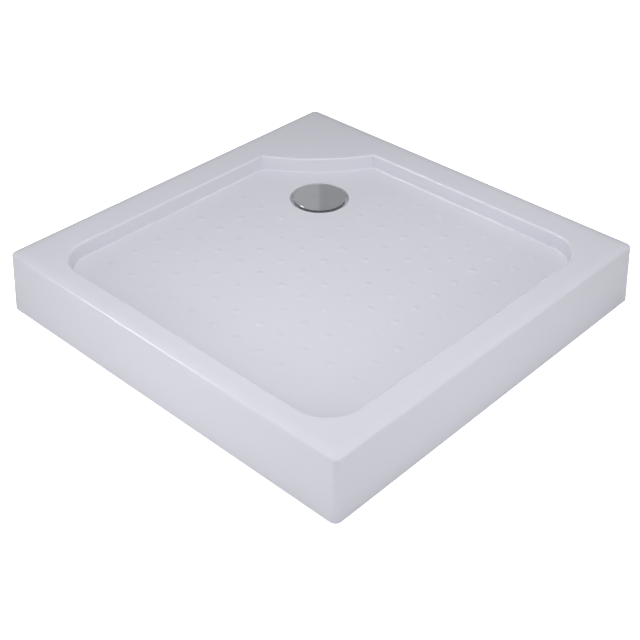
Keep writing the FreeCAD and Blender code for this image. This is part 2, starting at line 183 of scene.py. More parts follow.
# ---- mesh helpers ----
def fresh_piece(name, bm, body, slot, nodes, sharp_degrees=32.0):
    """Turns a bmesh into a finished piece that rides on a body and stands for its nodes."""
    limit = math.radians(sharp_degrees)
    bm.normal_update()
    for face in bm.faces:
        face.smooth = True
    for edge in bm.edges:
        edge.smooth = len(edge.link_faces) == 2 and edge.calc_face_angle(0.0) < limit
    mesh = bpy.data.meshes.new(name)
    bm.to_mesh(mesh)
    bm.free()
    piece = bpy.data.objects.new(name, mesh)
    bpy.context.scene.collection.objects.link(piece)
    mesh.materials.append(material(slot))
    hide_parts(*nodes)
    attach(piece, body)


def curve_in(bm, face, profile):
    """Follows a profile of (inset, sink) points inside a flat face, with one ring each."""
    inset, sink = 0.0, 0.0
    for point in profile:
        bmesh.ops.inset_region(bm, faces=[face], thickness=point[0] - inset,
                               depth=sink - point[1], use_boundary=True, use_even_offset=True)
        inset, sink = point


def flat_to_wall(radius, turn, count):
    """Fillet from a flat into a steep wall, as (inset, sink) points."""
    angles = [turn * i / count for i in range(1, count + 1)]
    return [(radius * math.sin(a), radius * (1.0 - math.cos(a))) for a in angles]


def wall_to_flat(radius, turn, count):
    """Fillet from a steep wall into a flat, as (inset, sink) points."""
    angles = [turn * (1.0 - i / count) for i in range(1, count + 1)]
    return [(radius * (math.sin(turn) - math.sin(a)), radius * (math.cos(a) - math.cos(turn)))
            for a in angles]


def chained(*profiles):
    """Joins profiles end to end."""
    points, base = [], (0.0, 0.0)
    for profile in profiles:
        points += [(base[0] + x, base[1] + z) for x, z in profile]
        base = points[-1]
    return points


def bend(radius, start, end, count):
    """Convex arc whose slope eases from start to end, as (inset, sink) points going up."""
    slopes = [start + (end - start) * i / count for i in range(1, count + 1)]
    return [(radius * (math.sin(start) - math.sin(a)), -radius * (math.cos(a) - math.cos(start)))
            for a in slopes]


def fillet_reach(radius, turn):
    """How far a fillet runs along each of the two surfaces that it joins."""
    return radius * math.tan(turn / 2)


def circle_face(bm, radius, segments, x, y, z):
    made = bmesh.ops.create_circle(bm, cap_ends=True, radius=radius, segments=segments,
                                   matrix=Matrix.Translation((x, y, z)))
    face = made["verts"][0].link_faces[0]
    if face.normal.z < 0.0:
        face.normal_flip()
    return face


def lathe(bm, corners, place, segments=96, rounding_steps=4):
    """Spins a closed outline of (radius, height, rounding) corners, in mm, and places it."""
    old = set(bm.faces)
    verts = [bm.verts.new((r * MM, 0.0, z * MM)) for r, z, _ in corners]
    bm.faces.new(verts)
    for vert, (_, _, rounding) in zip(verts, corners):
        if rounding:
            bmesh.ops.bevel(bm, geom=[vert], offset=rounding * MM, offset_type="OFFSET",
                            segments=rounding_steps, profile=0.5, affect="VERTICES", material=-1)
    face = next(f for f in bm.faces if f not in old)
    outline, ring = list(face.edges), list(face.verts)
    bmesh.ops.delete(bm, geom=[face], context="FACES_ONLY")
    on_axis = [e for e in outline if all(v.co.x < 1e-7 for v in e.verts)]
    outline = [e for e in outline if e not in on_axis]
    bmesh.ops.delete(bm, geom=on_axis, context="EDGES_FACES")
    before = set(bm.verts)
    bmesh.ops.spin(bm, geom=ring + outline, cent=(0, 0, 0), axis=UP, dvec=(0, 0, 0),
                   angle=2.0 * math.pi, steps=segments, use_merge=True)
    made = [v for v in bm.verts if v not in before] + [v for v in ring if v.is_valid]
    bmesh.ops.remove_doubles(bm, verts=made, dist=1e-6)
    made = [v for v in made if v.is_valid]
    faces = list({f for v in made for f in v.link_faces})
    bmesh.ops.recalc_face_normals(bm, faces=faces)
    bmesh.ops.transform(bm, matrix=place, verts=made)
    return made


def standing(x, y, z=0.0):
    """Place of an upright turned piece, in mm."""
    return Matrix.Translation((x * MM, y * MM, z * MM))


def prism(bm, sides, across, low, high, x, y, chamfer=0.0):
    """Upright prism, in mm, with a given width across its flats; returns its bottom and top."""
    radius = across / 2 / math.cos(math.pi / sides) * MM
    place = standing(x, y, (low + high) / 2) @ Matrix.Rotation(math.pi / sides, 4, "Z")
    old = set(bm.faces)
    made = bmesh.ops.create_cone(bm, cap_ends=True, cap_tris=False, segments=sides,
                                 radius1=radius, radius2=radius, depth=(high - low) * MM,
                                 matrix=place)["verts"]
    if chamfer:
        rims = [e for e in {e for v in made for e in v.link_edges}
                if abs(e.verts[0].co.z - e.verts[1].co.z) < 1e-6]
        bmesh.ops.bevel(bm, geom=rims, offset=chamfer * MM, offset_type="OFFSET", segments=2,
                        profile=0.5, affect="EDGES", material=-1)
    bm.normal_update()
    flats = [f for f in bm.faces if f not in old and abs(f.normal.z) > 0.99]
    flats.sort(key=lambda f: f.calc_center_median().z)
    return flats[0], flats[-1]


def bored_prism(bm, sides, across, low, high, x, y, bore, chamfer=0.0, floor=None):
    """Prism with an upright bore, in mm: right through, or from the top down to a floor."""
    bottom, top = prism(bm, sides, across, low, high, x, y, chamfer)
    inset = (across / 2 - chamfer - bore) * MM
    if floor is not None:
        bmesh.ops.inset_individual(bm, faces=[top], thickness=inset, use_even_offset=True)
        sunk = bmesh.ops.extrude_discrete_faces(bm, faces=[top])["faces"][0]
        bmesh.ops.translate(bm, vec=(0, 0, (floor - high) * MM), verts=list(sunk.verts))
        return
    bmesh.ops.inset_individual(bm, faces=[bottom, top], thickness=inset, use_even_offset=True)
    loops = list(bottom.edges) + list(top.edges)
    bmesh.ops.delete(bm, geom=[bottom, top], context="FACES_ONLY")
    bmesh.ops.bridge_loops(bm, edges=loops)


def points_of(faces):
    return list({v for f in faces for v in f.verts})


def helix(bm, thread, radius, low, high, x, y):
    """Threaded rod between two heights, in mm, cut square at both ends."""
    pitch, root, crest = thread.pitch, thread.root, radius * MM
    start = (low - pitch / MM) * MM
    turns = math.ceil((high - low) * MM / pitch) + 1
    flank = [(root, 0.0), (crest, 0.4), (crest, 0.52), (root, 0.92), (root, 1.0)]
    verts = [bm.verts.new((r, 0.0, start + z * pitch)) for r, z in flank]
    edges = [bm.edges.new(pair) for pair in zip(verts, verts[1:])]
    old = set(bm.faces)

    def thread_faces():
        return [f for f in bm.faces if f not in old]

    bmesh.ops.spin(bm, geom=verts + edges, cent=(0, 0, 0), axis=UP, angle=math.tau * turns,
                   dvec=(0, 0, pitch / thread.steps), steps=thread.steps * turns)
    bmesh.ops.remove_doubles(bm, verts=points_of(thread_faces()), dist=1e-6)
    for height, up in ((low * MM, -1.0), (high * MM, 1.0)):
        faces = thread_faces()
        geom = faces + list({e for f in faces for e in f.edges}) + points_of(faces)
        bmesh.ops.bisect_plane(bm, geom=geom, dist=1e-7, plane_co=(0, 0, height),
                               plane_no=(0, 0, up), clear_outer=True)
        rim = [e for e in bm.edges
               if e.is_boundary and all(abs(v.co.z - height) < 1e-6 for v in e.verts)]
        bmesh.ops.edgeloop_fill(bm, edges=rim)
    bmesh.ops.recalc_face_normals(bm, faces=thread_faces())
    bmesh.ops.translate(bm, vec=(x * MM, y * MM, 0), verts=points_of(thread_faces()))


# ---- material helpers ----
CLOUD_SOCKETS = ("Scale", "Detail", "Roughness", "From Min", "From Max", "To Min", "To Max")


def surface_clouds():
    """Node group, built once: noise whose middle range is spread between two values."""
    name = "surface_clouds"
    tree = bpy.data.node_groups.get(name)
    if tree:
        return tree
    tree = bpy.data.node_groups.new(name, "ShaderNodeTree")
    face = tree.interface
    face.new_socket(name="Vector", in_out="INPUT", socket_type="NodeSocketVector")
    for socket in CLOUD_SOCKETS:
        face.new_socket(name=socket, in_out="INPUT", socket_type="NodeSocketFloat")
    face.new_socket(name="Value", in_out="OUTPUT", socket_type="NodeSocketFloat")
    start, end = tree.nodes.new("NodeGroupInput"), tree.nodes.new("NodeGroupOutput")
    noise, spread = tree.nodes.new("ShaderNodeTexNoise"), tree.nodes.new("ShaderNodeMapRange")
    for socket in ("Vector",) + CLOUD_SOCKETS[:3]:
        tree.links.new(start.outputs[socket], noise.inputs[socket])
    for socket in CLOUD_SOCKETS[3:]:
        tree.links.new(start.outputs[socket], spread.inputs[socket])
    tree.links.new(noise.outputs["Fac"], spread.inputs["Value"])
    tree.links.new(spread.outputs["Result"], end.inputs["Value"])
    return tree


class Finish:
    """A node material with one Principled shader and a short way to add nodes to it."""

    def __init__(self, name):
        self.material = bpy.data.materials.new(name)
        self.material.use_nodes = True
        self.nodes = self.material.node_tree.nodes
        self.shader = self.nodes["Principled BSDF"]
        self.coordinates = self.add("ShaderNodeTexCoord").outputs["Object"]

    def add(self, kind, **values):
        node = self.nodes.new(kind)
        for key, value in values.items():
            setattr(node, key, value)
        return node

    def link(self, output, target):
        self.material.node_tree.links.new(output, target)

    def set(self, socket, value):
        self.shader.inputs[socket].default_value = value

    def clouds(self, scale, low=0.0, high=1.0, detail=4.0, rough=0.5, stretch=None,
               span=(0.3, 0.7)):
        """Noise whose values over a span are spread between low and high."""
        source = self.coordinates
        if stretch:
            mapping = self.add("ShaderNodeMapping")
            mapping.inputs["Scale"].default_value = stretch
            self.link(source, mapping.inputs["Vector"])
            source = mapping.outputs["Vector"]
        node = self.add("ShaderNodeGroup", node_tree=surface_clouds())
        for socket, value in zip(CLOUD_SOCKETS, (scale, detail, rough, *span, low, high)):
            node.inputs[socket].default_value = value
        self.link(source, node.inputs["Vector"])
        return node.outputs["Value"]

    def relief(self, scale, detail=4.0, rough=0.5):
        """Plain noise, for a bump."""
        return self.clouds(scale, detail=detail, rough=rough, span=(0.0, 1.0))

    def mix(self, factor, first, second):
        node = self.add("ShaderNodeMix", data_type="RGBA")
        for name, value in (("A", first), ("B", second)):
            socket = next(s for s in node.inputs if s.name == name and s.type == "RGBA")
            if isinstance(value, bpy.types.NodeSocket):
                self.link(value, socket)
            else:
                socket.default_value = (*value, 1.0)
        self.link(factor, node.inputs["Factor"])
        return next(s for s in node.outputs if s.type == "RGBA")

    def paint(self, value):
        self.link(value, self.shader.inputs["Base Color"])

    def roughen(self, value):
        self.link(value, self.shader.inputs["Roughness"])

    def emboss(self, height, strength, distance_mm, under=None):
        node = self.add("ShaderNodeBump")
        node.inputs["Strength"].default_value = strength
        node.inputs["Distance"].default_value = distance_mm * MM
        self.link(height, node.inputs["Height"])
        if under is not None:
            self.link(under, node.inputs["Normal"])
        self.link(node.outputs["Normal"], self.shader.inputs["Normal"])
        return node.outputs["Normal"]


def shade(rgb, factor):
    return tuple(min(1.0, c * factor) for c in rgb)


def acrylic(name, rgb):
    """Glossy formed sheet: faint clouding, the slight orange peel of a vacuum-formed skin."""
    f = Finish(name)
    f.paint(f.mix(f.clouds(2.5, detail=3.0), shade(rgb, 0.985), shade(rgb, 1.01)))
    f.roughen(f.clouds(7.0, 0.13, 0.19))
    f.set("IOR", 1.49)
    wave = f.emboss(f.relief(9.0, 1.0), 0.06, 1.0)
    f.emboss(f.relief(420.0, 2.0), 0.02, 0.1, wave)
    return f.material


def chrome(name, rgb):
    """Plated cover: clean mirror with faint wiping marks."""
    f = Finish(name)
    f.paint(f.mix(f.clouds(30.0, detail=3.0), shade(rgb, 0.97), shade(rgb, 1.03)))
    f.roughen(f.clouds(60.0, 0.03, 0.06, 5.0, 0.6, (1.0, 6.0, 1.0)))
    f.set("Metallic", 1.0)
    f.emboss(f.relief(25.0, 1.0), 0.03, 0.1)
    return f.material


def laminate(name, rgb):
    """Sprayed chopped-strand laminate: matted fibres, resin-rich and dry patches."""
    f = Finish(name)
    body = f.mix(f.clouds(9.0, detail=5.0, rough=0.6), shade(rgb, 0.82), shade(rgb, 1.12))
    strands = f.clouds(170.0, 0.0, 1.0, 6.0, 0.75, (1.0, 0.35, 1.0), (0.42, 0.6))
    f.paint(f.mix(strands, body, shade(rgb, 1.35)))
    f.roughen(f.clouds(40.0, 0.42, 0.72))
    lumps = f.emboss(f.relief(38.0, 5.0, 0.6), 0.7, 1.6)
    f.emboss(strands, 0.5, 0.4, lumps)
    return f.material


def chipboard(name, rgb):
    """Pressed wood chips: pale and dark flakes, rough."""
    f = Finish(name)
    flakes = f.add("ShaderNodeTexVoronoi")
    flakes.inputs["Scale"].default_value = 260.0
    f.link(f.coordinates, flakes.inputs["Vector"])
    tone = f.add("ShaderNodeSeparateColor")
    f.link(flakes.outputs["Color"], tone.inputs["Color"])
    chips = f.mix(tone.outputs["Red"], shade(rgb, 0.62), shade(rgb, 1.4))
    grain = (3.0, 0.6, (1.0, 0.25, 1.0))
    f.paint(f.mix(f.clouds(500.0, 0.0, 0.5, *grain), chips, shade(rgb, 0.8)))
    f.roughen(f.clouds(500.0, 0.7, 0.92, *grain))
    f.emboss(flakes.outputs["Distance"], 0.5, 0.5)
    return f.material


def zinc(name, rgb):
    """Bright zinc plating with soft cloudy crystals."""
    f = Finish(name)
    f.paint(f.mix(f.clouds(85.0, rough=0.6), shade(rgb, 0.82), shade(rgb, 1.15)))
    f.roughen(f.clouds(140.0, 0.26, 0.45))
    f.set("Metallic", 1.0)
    f.emboss(f.relief(300.0, 2.0), 0.1, 0.1)
    return f.material


def moulded_plastic(name, rgb, rough, grain):
    """Injection-moulded plastic with a fine spark-eroded grain."""
    f = Finish(name)
    f.paint(f.mix(f.clouds(22.0), shade(rgb, 0.92), shade(rgb, 1.06)))
    f.roughen(f.clouds(55.0, rough - 0.06, rough + 0.08))
    f.emboss(f.relief(grain, 3.0), 0.18, 0.12)
    return f.material


def foot_plastic(name, rgb):
    return moulded_plastic(name, rgb, 0.5, 700.0)


def trap_plastic(name, rgb):
    return moulded_plastic(name, rgb, 0.38, 500.0)


def rubber(name, rgb):
    f = Finish(name)
    f.paint(f.mix(f.clouds(60.0), shade(rgb, 0.8), shade(rgb, 1.6)))
    f.roughen(f.clouds(90.0, 0.6, 0.8))
    f.emboss(f.relief(600.0, 2.0), 0.2, 0.08)
    return f.material


# slot in the frame: the material's name, what makes it, and which colour it takes
FINISHES = {
    "acrylic": ("moulded_acrylic", acrylic, "acrylic"),
    "chrome": ("chrome_plate", chrome, "chrome"),
    "fibreglass": ("chopped_strand_laminate", laminate, "laminate"),
    "chipboard": ("pressed_chipboard", chipboard, "chipboard"),
    "zinc_steel": ("zinc_plate", zinc, "zinc"),
    "rubber": ("seal_rubber", rubber, "rubber"),
    "foot_plastic": ("foot_moulding", foot_plastic, "foot"),
    "trap_plastic": ("trap_moulding", trap_plastic, "trap"),
}


def material(slot):
    """The finish of a slot, made the first time it is asked for."""
    name, maker, source = FINISHES[slot]
    return (bpy.data.materials.get(name)
            or maker(name, tuple(getattr(settings("tray_finish"), source))))


# ---- the moulded sheet and its backing ----
FLAT_BAND = 0.4 * MM          # flat ring that keeps a fillet's shading off the flat beside it
ARC_STEPS = 9                 # rings in one fillet of the basin
RECESS_STEPS = 5              # and of the drain recess
LEAST_BEND = 0.5 * MM         # tightest deck edge, on the backing
LEAST_BASIN_LIP = 3.0 * MM    # tightest lip of the basin, on the backing
TRIM = 0.5 * MM               # height of the square cut along the sheet's foot
WALL_SHARE = 0.98             # of a wall's thickness, so that sheet and backing don't touch


def lean_in(bm, face, inset, rise):
    """Raises a copy of the square face whose four corners each move in, and walls between."""
    top = bmesh.ops.extrude_discrete_faces(bm, faces=[face])["faces"][0]
    for sx in (-1, 1):
        for sy in (-1, 1):
            corner = [v for v in top.verts if v.co.x * sx > 0.0 and v.co.y * sy > 0.0]
            bmesh.ops.translate(bm, vec=(-sx * inset, -sy * inset, rise), verts=corner)
    return top


def rounded_block(bm, m, depth, low):
    """Skirt and deck edge: a square that steps up and in; returns the deck's face."""
    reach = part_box("tray_shell")[1]
    half_low, height = reach.x, reach.z
    draft = math.tan(m.skirt_draft)
    turn = math.pi / 2 - m.skirt_draft
    crisp = bend(max(m.deck_edge - depth, LEAST_BEND), turn, m.deck_fall, 5)
    roll = chained(bend(m.deck_roll - depth, m.deck_fall, 0.0, 7), [(FLAT_BAND, 0.0)])
    square = bmesh.ops.create_grid(bm, x_segments=1, y_segments=1,
                                   size=half_low - depth - low * draft,
                                   matrix=Matrix.Translation((0, 0, low)))["verts"]
    bmesh.ops.bevel(bm, geom=square, offset=m.skirt_corner - depth, offset_type="OFFSET",
                    segments=8, profile=0.5, affect="VERTICES", material=-1)
    face = next(iter(bm.faces))
    if face.normal.z < 0.0:
        face.normal_flip()
    run = height - depth - low + crisp[-1][1] + roll[-1][1]
    trim = TRIM if low == 0.0 else 0.0      # the sheet is trimmed square along its foot
    if trim:
        face = lean_in(bm, face, 0.0, trim)
    last = 0.0
    for along in (0.3, 0.6, 0.98, 1.0):
        step = run * (along - last) - (0.0 if last else trim)
        face = lean_in(bm, face, run * draft * (along - last), step)
        last = along
    curve_in(bm, face, crisp)
    inset, rise = 0.0, 0.0
    for point in roll:
        face = lean_in(bm, face, point[0] - inset, rise - point[1])
        inset, rise = point[0], point[1]
    return face


def basin_face(bm, m, out, level):
    """Plan of the basin with its straight walls, round corners and the shelf's front."""
    left, right = m.basin_left - out, m.basin_right + out
    front, rear = m.basin_front - out, m.basin_rear + out
    centre = Vector((m.shelf_x, m.shelf_y, level))
    radius = m.shelf_radius - out
    shelf_end = centre.x + math.sqrt(radius ** 2 - (rear - centre.y) ** 2)
    shelf_start = centre.y - math.sqrt(radius ** 2 - (left - centre.x) ** 2)
    sweep = (math.atan2(rear - centre.y, shelf_end - centre.x)
             - math.atan2(shelf_start - centre.y, left - centre.x))
    first = bm.verts.new((left, shelf_start, level))
    arc = bmesh.ops.spin(bm, geom=[first], cent=centre, axis=UP, dvec=(0, 0, 0), angle=sweep,
                         steps=12, use_duplicate=False)
    last = next(v for v in arc["geom_last"] if isinstance(v, bmesh.types.BMVert))
    corners = [bm.verts.new((x, y, level))
               for x, y in ((right, rear), (right, front), (left, front))]
    chain = [last, *corners, first]
    edges = [bm.edges.new(pair) for pair in zip(chain, chain[1:])]
    here = first
    while here is not last:
        step = next(e for e in here.link_edges if e not in edges)
        edges.append(step)
        here = step.other_vert(here)
    face = bmesh.ops.edgeloop_fill(bm, edges=edges)["faces"][0]
    old = set(bm.faces) - {face}
    for corner in corners:
        bmesh.ops.bevel(bm, geom=[corner], offset=m.basin_corner + out, offset_type="OFFSET",
                        segments=14, profile=0.5, affect="VERTICES", material=-1)
    face = next(f for f in bm.faces if f not in old)
    if face.normal.z < 0.0:
        face.normal_flip()
    return face


def open_up(bm, face, inner_faces):
    """Replaces a flat face by one with holes where the inner faces lie."""
    rim = list(face.edges)
    bmesh.ops.delete(bm, geom=[face], context="FACES_ONLY")
    edges = rim + [e for f in inner_faces for e in f.edges]
    made = bmesh.ops.triangle_fill(bm, use_beauty=True, use_dissolve=False, edges=edges, normal=UP)
    for item in made["geom"]:
        if isinstance(item, bmesh.types.BMFace) and item.normal.z < 0.0:
            item.normal_flip()


def stud_places(studs):
    """Middles of the anti-slip studs: a square grid without the ones beside the drain."""
    half = (studs.per_side - 1) / 2
    for i in range(studs.per_side):
        for j in range(studs.per_side):
            if i >= studs.gap or j < studs.per_side - studs.gap:
                yield (i - half) * studs.pitch, (j - half) * studs.pitch


def raise_studs(bm, faces, studs):
    """Swells flat round faces into low studs with a soft foot."""
    inset, rise = 0.0, 0.0
    steps = [(FLAT_BAND, 0.0)]
    for i in range(1, 8):
        along = i / 8
        steps.append((FLAT_BAND + studs.radius * along,
                      studs.rise * (1.0 - math.cos(math.pi * along)) / 2))
    for point in steps:
        bmesh.ops.inset_individual(bm, faces=faces, thickness=point[0] - inset,
                                   depth=point[1] - rise, use_even_offset=True)
        inset, rise = point


def tray_surface(bm, m, depth, low, studs=None):
    """The tray's upper side, set back by depth, from a height on the skirt to the waste hole."""
    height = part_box("tray_shell")[1].z
    deck = height - depth
    floor = deck - m.basin_depth
    deck_face = rounded_block(bm, m, depth, low)

    turn = math.atan2(m.basin_depth, m.wall_lean)
    lip, foot = max(m.basin_lip - depth, LEAST_BASIN_LIP), m.basin_foot + depth
    lip_reach, foot_reach = fillet_reach(lip, turn), fillet_reach(foot, turn)
    face = basin_face(bm, m, depth + lip_reach + FLAT_BAND, deck)
    open_up(bm, deck_face, [face])
    both = lip_reach + foot_reach
    wall = (m.wall_lean - both * math.cos(turn), m.basin_depth - both * math.sin(turn))
    curve_in(bm, face, chained([(FLAT_BAND, 0.0)], flat_to_wall(lip, turn, ARC_STEPS),
                               [(wall[0] * t, wall[1] * t) for t in (0.04, 0.5, 0.96, 1.0)],
                               wall_to_flat(foot, turn, ARC_STEPS), [(FLAT_BAND, 0.0)]))

    centre_x, centre_y = drain_centre()
    turn = math.atan2(m.recess_depth, m.recess_lean)
    lip, foot = m.recess_edge, m.recess_edge + depth
    lip_reach, foot_reach = fillet_reach(lip, turn), fillet_reach(foot, turn)
    start = m.recess_radius + depth + lip_reach
    ring = circle_face(bm, start + FLAT_BAND, 112, centre_x, centre_y, floor)
    bumps = [circle_face(bm, studs.radius + FLAT_BAND, 24, x, y, floor)
             for x, y in (stud_places(studs) if studs else ())]
    open_up(bm, face, [ring, *bumps])
    if studs:
        raise_studs(bm, bumps, studs)
    both = lip_reach + foot_reach
    wall = (m.recess_lean - both * math.cos(turn), m.recess_depth - both * math.sin(turn))
    profile = chained([(FLAT_BAND, 0.0)], flat_to_wall(lip, turn, RECESS_STEPS), [wall],
                      wall_to_flat(foot, turn, RECESS_STEPS), [(FLAT_BAND, 0.0)])
    profile.append((start + FLAT_BAND - m.waste_hole, profile[-1][1]))
    curve_in(bm, ring, profile)
    bmesh.ops.delete(bm, geom=[ring], context="FACES_ONLY")


def thicken(bm, thickness, lowest):
    """Gives the surface its wall on the inside and trims it level along the skirt's foot."""
    bmesh.ops.solidify(bm, geom=list(bm.faces), thickness=thickness)
    for vert in bm.verts:
        vert.co.z = max(vert.co.z, lowest)


def drain_centre():
    low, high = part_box("drain_cover")
    return (low.x + high.x) / 2, (low.y + high.y) / 2


class TRAY_OT_sheet(bpy.types.Operator):
    """Makes the moulded acrylic sheet with its skirt, basin, shelf, studs and drain recess"""
    bl_idname = "tray.sheet"
    bl_label = "Moulded sheet"

    def execute(self, context):
        m = settings("tray_mould")
        bm = bmesh.new()
        tray_surface(bm, m, 0.0, 0.0, settings("tray_studs"))
        thicken(bm, m.sheet * WALL_SHARE, 0.0)
        fresh_piece("acrylic_sheet", bm, "tray", "acrylic", ["tray_shell"])
        return {"FINISHED"}


class TRAY_OT_laminate(bpy.types.Operator):
    """Makes the glass-fibre laminate on the back of the sheet"""
    bl_idname = "tray.laminate"
    bl_label = "Laminate"

    def execute(self, context):
        m = settings("tray_mould")
        bm = bmesh.new()
        tray_surface(bm, m, m.sheet, m.laminate_low)
        thicken(bm, m.laminate * WALL_SHARE, m.laminate_low - 0.2 * MM)
        fresh_piece("glass_laminate", bm, "tray", "fibreglass", ["fibreglass_backing"])
        return {"FINISHED"}


# ---- the drain cover ----
class TRAY_OT_cover(bpy.types.Operator):
    """Makes the domed, chromed drain cover"""
    bl_idname = "tray.cover"
    bl_label = "Drain cover"

    def execute(self, context):
        low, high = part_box("drain_cover")
        radius, top, bottom = (high.x - low.x) / 2 / MM, high.z / MM, low.z / MM
        rim, sag, wall = radius - 0.6, 1.1, 1.5
        boss, bore, bore_top = 9.0, 5.35, top - 4.4
        dome = [(rim * i / 12, top - sag * (i / 12) ** 2, 0.0) for i in range(13)]
        edge, skirt = top - sag - 0.6, top - 5.0
        x, y = drain_centre()
        corners = dome + [(radius, edge, 0.4), (radius, skirt, 0.35),
                          (radius - wall, skirt, 0.35), (radius - wall, edge - 0.3, 0.8),
                          (boss, top - 2.0, 1.2), (boss, bottom, 0.4), (bore, bottom, 0.4),
                          (bore, bore_top, 0.0), (0.0, bore_top, 0.0)]
        bm = bmesh.new()
        lathe(bm, corners, standing(x / MM, y / MM), segments=128)
        fresh_piece("chromed_cover", bm, "drain_cover", "chrome", ["drain_cover"], 40.0)
        return {"FINISHED"}


# ---- legs ----
CLEARANCE = 0.3               # round a rod in its bores, in mm
OVERLAP = 0.05                # of a rod's halves into its hexagon, in mm


def leg_spot(leg):
    """Middle of a leg and the height of its board's underside, in mm."""
    low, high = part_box(f"leg_socket_{leg}")
    return (low.x + high.x) / 2 / MM, (low.y + high.y) / 2 / MM, high.z / MM


class TRAY_OT_rods(bpy.types.Operator):
    """Makes the threaded rods with the hexagon that a spanner turns"""
    bl_idname = "tray.rods"
    bl_label = "Threaded rods"

    def execute(self, context):
        s, thread = settings("tray_legs"), settings("tray_thread")
        for leg in LEG_NAMES:
            x, y, _ = leg_spot(leg)
            low, high = (corner.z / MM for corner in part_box(f"leg_rod_{leg}"))
            collar = s.collar_low / MM
            collar_top = collar + s.collar_height / MM
            radius = s.rod_radius / MM
            bm = bmesh.new()
            prism(bm, 6, s.collar_flats / MM, collar, collar_top, x, y, 0.7)
            helix(bm, thread, radius, low, collar + OVERLAP, x, y)
            helix(bm, thread, radius, collar_top - OVERLAP, high, x, y)
            fresh_piece(f"threaded_rod_{leg}", bm, f"rod_{leg}", "zinc_steel", [f"leg_rod_{leg}"])
        return {"FINISHED"}


class TRAY_OT_pads(bpy.types.Operator):
    """Makes the plastic feet: a rounded disc, a hexagonal hub and gussets between them"""
    bl_idname = "tray.pads"
    bl_label = "Foot pads"

    def execute(self, context):
        s = settings("tray_legs")
        for leg in LEG_NAMES:
            x, y, _ = leg_spot(leg)
            radius, base = s.pad_radius / MM, s.pad_base / MM
            top, hub = s.pad_height / MM, s.pad_hub / MM
            hollow = 0.8
            bm = bmesh.new()
            lathe(bm, [(0.0, hollow, 0.0), (radius - 5.0, hollow, 0.3), (radius - 4.2, 0.0, 0.2),
                       (radius, 0.0, 0.5), (radius, base, 1.2), (0.0, base, 0.0)],
                  standing(x, y), segments=64)
            bored_prism(bm, 6, hub, base - 0.5, top, x, y, s.rod_radius / MM + CLEARANCE, 0.6,
                        s.seat / MM)
            for i in range(s.gussets):
                self.gusset(bm, x, y, hub / 2 - 1.0, radius - 3.0, base - 0.4, top - 3.0,
                            i / s.gussets)
            fresh_piece(f"levelling_foot_{leg}", bm, f"foot_{leg}", "foot_plastic",
                        [f"foot_pad_{leg}"])
        return {"FINISHED"}

    def gusset(self, bm, x, y, inner, outer, low, high, turn):
        """One upright rib from the hub to the rim, at a share of a full turn."""
        place = standing(x, y) @ Matrix.Rotation(math.tau * turn, 4, "Z")
        half, toe = 1.1, 1.4
        verts = [bm.verts.new((r * MM, -half * MM, z * MM))
                 for r, z in ((inner, low), (outer, low), (outer, low + toe), (inner, high))]
        face = bm.faces.new(verts)
        side = bmesh.ops.extrude_face_region(bm, geom=[face])["geom"]
        moved = [v for v in side if isinstance(v, bmesh.types.BMVert)]
        bmesh.ops.translate(bm, vec=(0, 2 * half * MM, 0), verts=moved)
        both = verts + moved
        bmesh.ops.transform(bm, matrix=place, verts=both)
        faces = list({f for v in both for f in v.link_faces})
        bmesh.ops.recalc_face_normals(bm, faces=faces)
        edges = list({e for v in both for e in v.link_edges})
        bmesh.ops.bevel(bm, geom=edges, offset=0.3 * MM, offset_type="OFFSET", segments=1,
                        profile=0.5, affect="EDGES", material=-1)


class TRAY_OT_sockets(bpy.types.Operator):
    """Makes the steel plates with their long hexagon nuts, and the lock nuts under them"""
    bl_idname = "tray.sockets"
    bl_label = "Leg sockets"

    def execute(self, context):
        s = settings("tray_legs")
        thick, bore = s.plate_thick / MM, s.rod_radius / MM + CLEARANCE
        nuts = bmesh.new()
        for leg in LEG_NAMES:
            x, y, board = leg_spot(leg)
            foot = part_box(f"leg_socket_{leg}")[0].z / MM
            bm = bmesh.new()
            self.plate(bm, s, x, y, board - thick / 2)
            bored_prism(bm, 6, s.socket_flats / MM, foot, board - thick, x, y, bore, 0.6)
            across = s.socket_flats / MM / 2
            weld = board - thick + 0.1
            lathe(bm, [(across, weld - 2.0, 0.0), (across + 2.4, weld - 2.0, 0.9),
                       (across + 3.6, weld, 0.0), (across, weld, 0.0)], standing(x, y), segments=40)
            fresh_piece(f"socket_plate_{leg}", bm, "tray", "zinc_steel", [f"leg_socket_{leg}"])
            bored_prism(nuts, 6, s.nut_flats / MM, foot - s.nut_height / MM, foot, x, y, bore, 0.7)
        fresh_piece("hexagon_lock_nuts", nuts, "tray", "zinc_steel", ["lock_nuts"])
        return {"FINISHED"}

    def plate(self, bm, s, x, y, middle):
        """Square plate with rounded corners and a slightly broken edge."""
        verts = bmesh.ops.create_cube(bm, size=1.0)["verts"]
        bmesh.ops.scale(bm, vec=(s.plate_side, s.plate_side, s.plate_thick), verts=verts)
        bmesh.ops.translate(bm, vec=(x * MM, y * MM, middle * MM), verts=verts)
        upright = [e for e in {e for v in verts for e in v.link_edges}
                   if abs(e.verts[0].co.z - e.verts[1].co.z) > 0.001]
        bmesh.ops.bevel(bm, geom=upright, offset=6.0 * MM, offset_type="OFFSET", segments=6,
                        profile=0.5, affect="EDGES", material=-1)
        rims = [e for f in bm.faces if abs(f.normal.z) > 0.99 for e in f.edges]
        bmesh.ops.bevel(bm, geom=rims, offset=0.35 * MM, offset_type="OFFSET", segments=2,
                        profile=0.5, affect="EDGES", material=-1)


